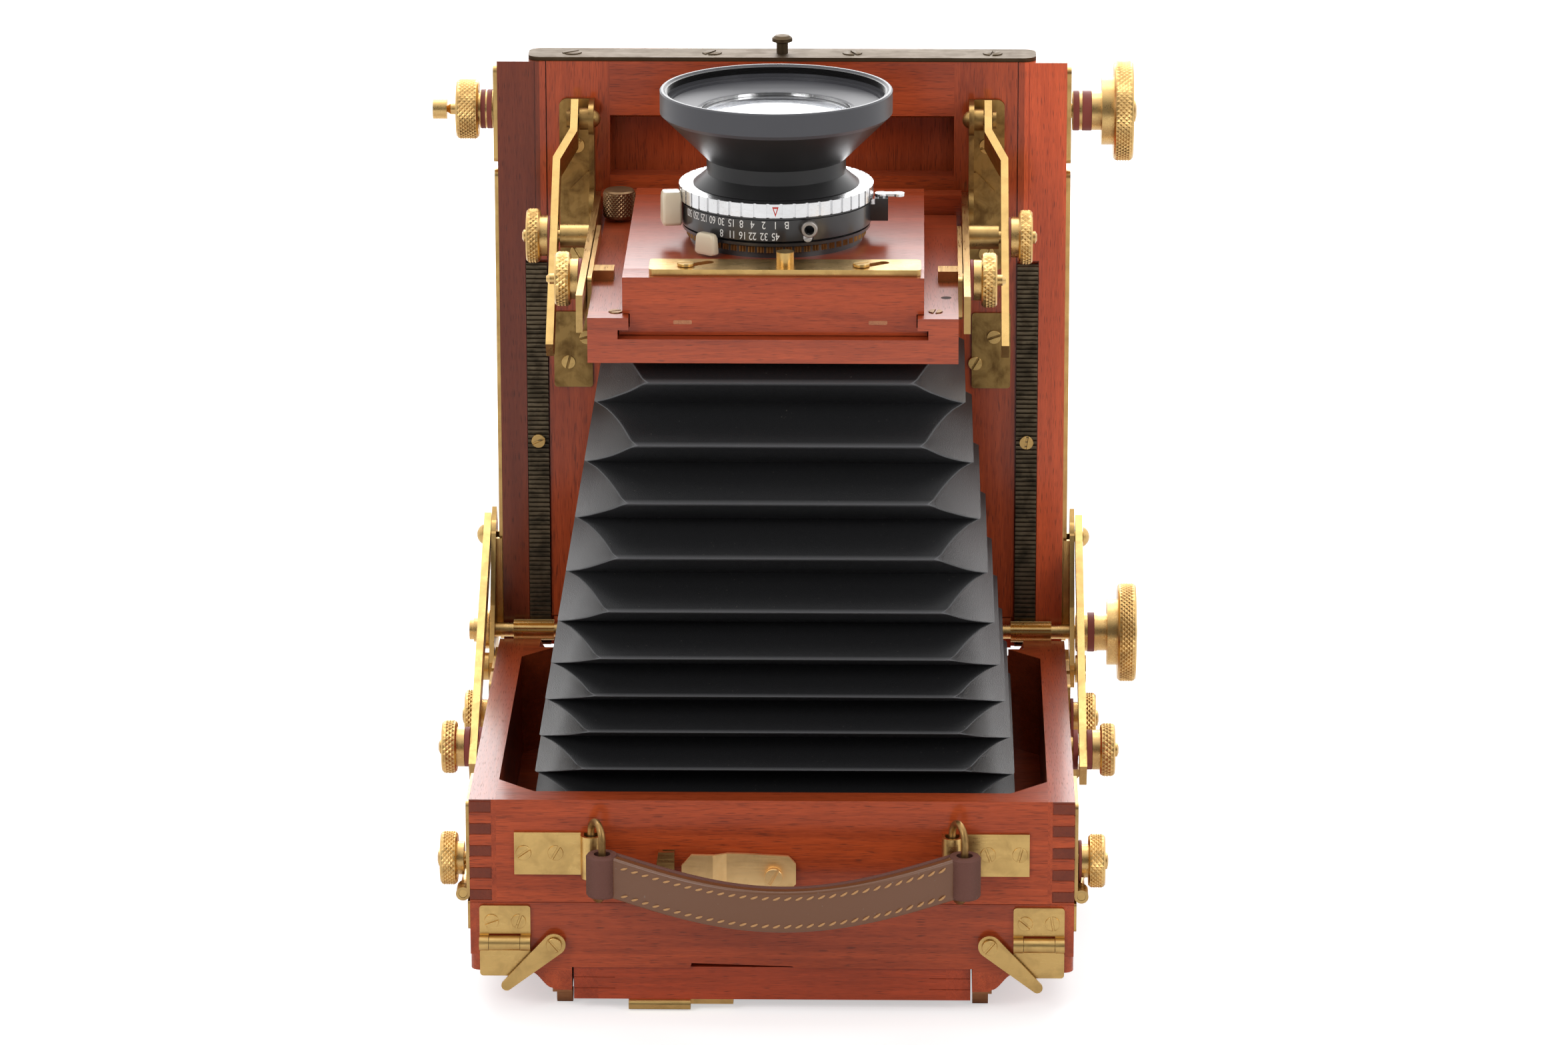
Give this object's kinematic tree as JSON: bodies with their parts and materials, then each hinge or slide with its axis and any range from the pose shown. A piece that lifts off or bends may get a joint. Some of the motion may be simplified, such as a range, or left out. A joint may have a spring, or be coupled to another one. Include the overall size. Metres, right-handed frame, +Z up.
{
  "type": "folding wooden field camera",
  "caption": "Wooden folding field camera on its back: finger-jointed case, leather bellows, brass-fitted bed with rack focusing, lens in a leaf shutter",
  "frame": {"origin": "on the table under the lens axis, which is the middle of the overall footprint; the camera lies on its ground glass back", "axes": "+Z up along the lens axis and out of the lens, +Y from the handle towards the bed, +X to the right seen from the handle side"},
  "size_m": [0.2235, 0.2292, 0.2641],
  "materials": {
    "mahogany": "varnished, fine straight grain, semi-gloss",
    "brass": "lacquered, brushed along the piece",
    "knurled_brass": "turned, with diamond knurling on the rims",
    "dark_brass": "blackened teeth with worn edges",
    "bronze": "dull, worn",
    "coated_glass": "polished, with a bluish coating",
    "frosted_glass": "ground on one side",
    "strap_leather": "smooth dark brown with tan stitching",
    "bellows_leather": "black grained leathercloth",
    "black_enamel": "satin black",
    "chrome": "satin chrome",
    "cream_plastic": "smooth, slightly yellowed"
  },
  "bodies": {
    "rear": {"rear_frame": "mahogany", "back_panel": "mahogany", "side_rails": "mahogany", "back_clips": "bronze", "rear_fittings": "brass", "bellows": "bellows_leather"},
    "glass_back": {"glass_frame": "mahogany", "ground_glass": "frosted_glass", "pull_tab": "brass"},
    "clasp_l": {"clasp_leaf_left": "brass"},
    "clasp_r": {"clasp_leaf_right": "brass"},
    "lever_l": {"turn_lever_left": "brass"},
    "lever_r": {"turn_lever_right": "brass"},
    "case_body": {"case": "mahogany", "case_fittings": "brass", "side_plates_right": "brass"},
    "left_plates": {"side_plates_left": "brass"},
    "swing_knob_l": {"swing_knob_left": "knurled_brass"},
    "swing_knob_r": {"swing_knob_right": "knurled_brass"},
    "far_knob_l": {"far_knob_left": "knurled_brass"},
    "far_knob_r": {"far_knob_right": "knurled_brass"},
    "handle": {"handle_rings": "bronze", "handle_strap": "strap_leather"},
    "latch_body": {"latch": "brass"},
    "carriage": {"carriage_plates": "brass"},
    "pinion_rear": {"rear_pinion": "knurled_brass"},
    "brace_l": {"brace_left": "brass"},
    "brace_r": {"brace_right": "brass"},
    "brace_knob_l": {"brace_knob_left": "knurled_brass"},
    "brace_knob_r": {"brace_knob_right": "knurled_brass"},
    "bed_body": {"bed": "mahogany", "bed_fittings": "brass", "rear_racks": "dark_brass"},
    "slide": {"sliding_frame": "mahogany", "end_strip": "brass", "front_racks": "dark_brass", "bed_brackets": "brass"},
    "pinion_front": {"front_pinion": "knurled_brass"},
    "lock_knob_body": {"lock_knob": "knurled_brass"},
    "front": {"arms": "brass", "crossbar": "mahogany"},
    "strut_l": {"strut_left": "brass"},
    "strut_r": {"strut_right": "brass"},
    "upper_knob_l": {"upper_knob_left": "knurled_brass"},
    "upper_knob_r": {"upper_knob_right": "knurled_brass"},
    "lens_frame_body": {"lens_frame": "mahogany", "frame_plates": "brass"},
    "lower_knob_l": {"lower_knob_left": "knurled_brass"},
    "lower_knob_r": {"lower_knob_right": "knurled_brass"},
    "rise_knob_body": {"rise_knob": "knurled_brass"},
    "lens": {"lens_carrier": "mahogany", "lens_board": "mahogany", "shutter_body": "black_enamel", "lens_cells": "black_enamel", "lens_glass": "coated_glass"},
    "board_lock_body": {"board_lock": "brass"},
    "speed_ring_body": {"speed_ring": "chrome"},
    "aperture": {"aperture_lever": "cream_plastic"},
    "cocking": {"cocking_lever": "cream_plastic"},
    "release": {"release_lever": "chrome"}
  },
  "joints": [
    {"name": "glass_spring", "type": "slide", "parent": "rear", "child": "glass_back", "axis": [0, 0, -1], "range_m": [0, 0.014], "stiffness_N_per_m": 400, "springref_m": -0.01},
    {"name": "clasp_left_open", "type": "hinge", "parent": "rear", "child": "clasp_l", "pos_m": [-0.0797, -0.0853, 0.0223], "axis": [1, 0, 0], "range_deg": [-3, 0]},
    {"name": "clasp_right_open", "type": "hinge", "parent": "rear", "child": "clasp_r", "pos_m": [0.0797, -0.0853, 0.0223], "axis": [1, 0, 0], "range_deg": [-3, 0]},
    {"name": "lever_left_turn", "type": "hinge", "parent": "rear", "child": "lever_l", "pos_m": [-0.0649, -0.0854, 0.022], "axis": [0, 1, 0], "range_deg": [-95, 0]},
    {"name": "lever_right_turn", "type": "hinge", "parent": "rear", "child": "lever_r", "pos_m": [0.0649, -0.0854, 0.022], "axis": [0, 1, 0], "range_deg": [0, 95]},
    {"name": "rear_swing", "type": "hinge", "parent": "rear", "child": "case_body", "pos_m": [0.0922, 0, 0.0362], "axis": [0, 1, 0], "range_deg": [0, 4], "deforming": ["bellows"]},
    {"name": "left_hinge", "type": "hinge", "parent": "rear", "child": "left_plates", "pos_m": [-0.0922, 0, 0.0362], "axis": [0, 1, 0], "range_deg": [-0.5, 2.5]},
    {"name": "swing_knob_left_turn", "type": "hinge", "parent": "case_body", "child": "swing_knob_l", "pos_m": [-0.095, -0.069, 0.0435], "axis": [1, 0, 0], "continuous": true},
    {"name": "far_knob_left_turn", "type": "hinge", "parent": "case_body", "child": "far_knob_l", "pos_m": [-0.095, 0.05, 0.05], "axis": [1, 0, 0], "continuous": true},
    {"name": "brace_knob_left_turn", "type": "hinge", "parent": "case_body", "child": "brace_knob_l", "pos_m": [-0.1, 0.018, 0.05], "axis": [1, 0, 0], "continuous": true},
    {"name": "swing_knob_right_turn", "type": "hinge", "parent": "case_body", "child": "swing_knob_r", "pos_m": [0.095, -0.069, 0.0435], "axis": [1, 0, 0], "continuous": true},
    {"name": "far_knob_right_turn", "type": "hinge", "parent": "case_body", "child": "far_knob_r", "pos_m": [0.095, 0.05, 0.05], "axis": [1, 0, 0], "continuous": true},
    {"name": "brace_knob_right_turn", "type": "hinge", "parent": "case_body", "child": "brace_knob_r", "pos_m": [0.1, 0.018, 0.05], "axis": [1, 0, 0], "continuous": true},
    {"name": "handle_swing", "type": "hinge", "parent": "case_body", "child": "handle", "pos_m": [0, -0.0862, 0.0501], "axis": [1, 0, 0], "range_deg": [-5, 5]},
    {"name": "latch_turn", "type": "hinge", "parent": "case_body", "child": "latch_body", "pos_m": [0.0006, -0.084, 0.044], "axis": [0, 1, 0], "range_deg": [-20, 95]},
    {"name": "bed_tilt", "type": "hinge", "parent": "case_body", "child": "carriage", "pos_m": [0, 0.078, 0.0574], "axis": [1, 0, 0], "range_deg": [-8, 2.5], "deforming": ["bellows"]},
    {"name": "rear_pinion_turn", "type": "hinge", "parent": "carriage", "child": "pinion_rear", "pos_m": [0, 0.0853, 0.0675], "axis": [1, 0, 0], "continuous": true},
    {"name": "brace_left_turn", "type": "hinge", "parent": "carriage", "child": "brace_l", "pos_m": [-0.095, 0.098, 0.0955], "axis": [1, 0, 0], "range_deg": [-5, 8]},
    {"name": "brace_right_turn", "type": "hinge", "parent": "carriage", "child": "brace_r", "pos_m": [0.095, 0.098, 0.0955], "axis": [1, 0, 0], "range_deg": [-5, 8]},
    {"name": "rear_focus", "type": "slide", "parent": "carriage", "child": "bed_body", "axis": [0, 0, -1], "range_m": [0, 0.04], "deforming": ["bellows"]},
    {"name": "front_focus", "type": "slide", "parent": "bed_body", "child": "slide", "axis": [0, 0, 1], "range_m": [0, 0.06], "deforming": ["bellows"]},
    {"name": "front_pinion_turn", "type": "hinge", "parent": "bed_body", "child": "pinion_front", "pos_m": [0, 0.10061, 0.2346], "axis": [1, 0, 0], "continuous": true},
    {"name": "lock_knob_turn", "type": "hinge", "parent": "bed_body", "child": "lock_knob_body", "pos_m": [-0.1, 0.10061, 0.2346], "axis": [1, 0, 0], "continuous": true},
    {"name": "front_tilt", "type": "hinge", "parent": "slide", "child": "front", "pos_m": [0, 0.0815, 0.2068], "axis": [1, 0, 0], "range_deg": [-7, 7], "deforming": ["bellows"]},
    {"name": "strut_left_turn", "type": "hinge", "parent": "slide", "child": "strut_l", "pos_m": [-0.065, 0.081, 0.236], "axis": [1, 0, 0], "range_deg": [-7, 7]},
    {"name": "upper_knob_left_turn", "type": "hinge", "parent": "front", "child": "upper_knob_l", "pos_m": [-0.075, 0.047, 0.2068], "axis": [1, 0, 0], "continuous": true},
    {"name": "strut_right_turn", "type": "hinge", "parent": "slide", "child": "strut_r", "pos_m": [0.065, 0.081, 0.236], "axis": [1, 0, 0], "range_deg": [-7, 7]},
    {"name": "upper_knob_right_turn", "type": "hinge", "parent": "front", "child": "upper_knob_r", "pos_m": [0.075, 0.047, 0.2068], "axis": [1, 0, 0], "continuous": true},
    {"name": "lens_tilt", "type": "hinge", "parent": "front", "child": "lens_frame_body", "pos_m": [0, -0.007, 0.2068], "axis": [1, 0, 0], "range_deg": [-6, 6], "deforming": ["bellows"]},
    {"name": "lower_knob_left_turn", "type": "hinge", "parent": "lens_frame_body", "child": "lower_knob_l", "pos_m": [-0.064, -0.007, 0.2068], "axis": [1, 0, 0], "continuous": true},
    {"name": "lower_knob_right_turn", "type": "hinge", "parent": "lens_frame_body", "child": "lower_knob_r", "pos_m": [0.064, -0.007, 0.2068], "axis": [1, 0, 0], "continuous": true},
    {"name": "rise_knob_turn", "type": "hinge", "parent": "lens_frame_body", "child": "rise_knob_body", "pos_m": [-0.0502, 0.066, 0.21], "axis": [0, 0, 1], "continuous": true},
    {"name": "rise", "type": "slide", "parent": "lens_frame_body", "child": "lens", "axis": [0, -1, 0], "range_m": [-0.011, 0.026]},
    {"name": "board_lock_slide", "type": "slide", "parent": "lens", "child": "board_lock_body", "axis": [-0.8192, -0.5736, 0], "range_m": [0, 0.008]},
    {"name": "speed_turn", "type": "hinge", "parent": "lens", "child": "speed_ring_body", "pos_m": [0, 0, 0.233], "axis": [0, 0, 1], "range_deg": [-150, 150]},
    {"name": "aperture_turn", "type": "hinge", "parent": "lens", "child": "aperture", "pos_m": [0, 0, 0.2227], "axis": [0, 0, 1], "range_deg": [-25, 40]},
    {"name": "cocking_turn", "type": "hinge", "parent": "lens", "child": "cocking", "pos_m": [0, 0, 0.2308], "axis": [0, 0, 1], "range_deg": [-50, 0]},
    {"name": "release_turn", "type": "hinge", "parent": "lens", "child": "release", "pos_m": [0.0316, 0.001, 0.231], "axis": [0, 0, 1], "range_deg": [0, 20], "stiffness_Nm_per_rad": 0.02, "springref_deg": -5.73}
  ],
  "couplings": [
    {"joint": "left_hinge", "follows": "rear_swing", "ratio": 0.5},
    {"joint": "rear_pinion_turn", "follows": "rear_focus", "rad_per_m": -349.07},
    {"joint": "front_pinion_turn", "follows": "front_focus", "rad_per_m": -349.07},
    {"joint": "brace_left_turn", "follows": "bed_tilt", "ratio": -0.6064},
    {"joint": "brace_right_turn", "follows": "bed_tilt", "ratio": -0.6064},
    {"joint": "strut_left_turn", "follows": "front_tilt", "ratio": 0.584},
    {"joint": "strut_right_turn", "follows": "front_tilt", "ratio": 0.584}
  ]
}
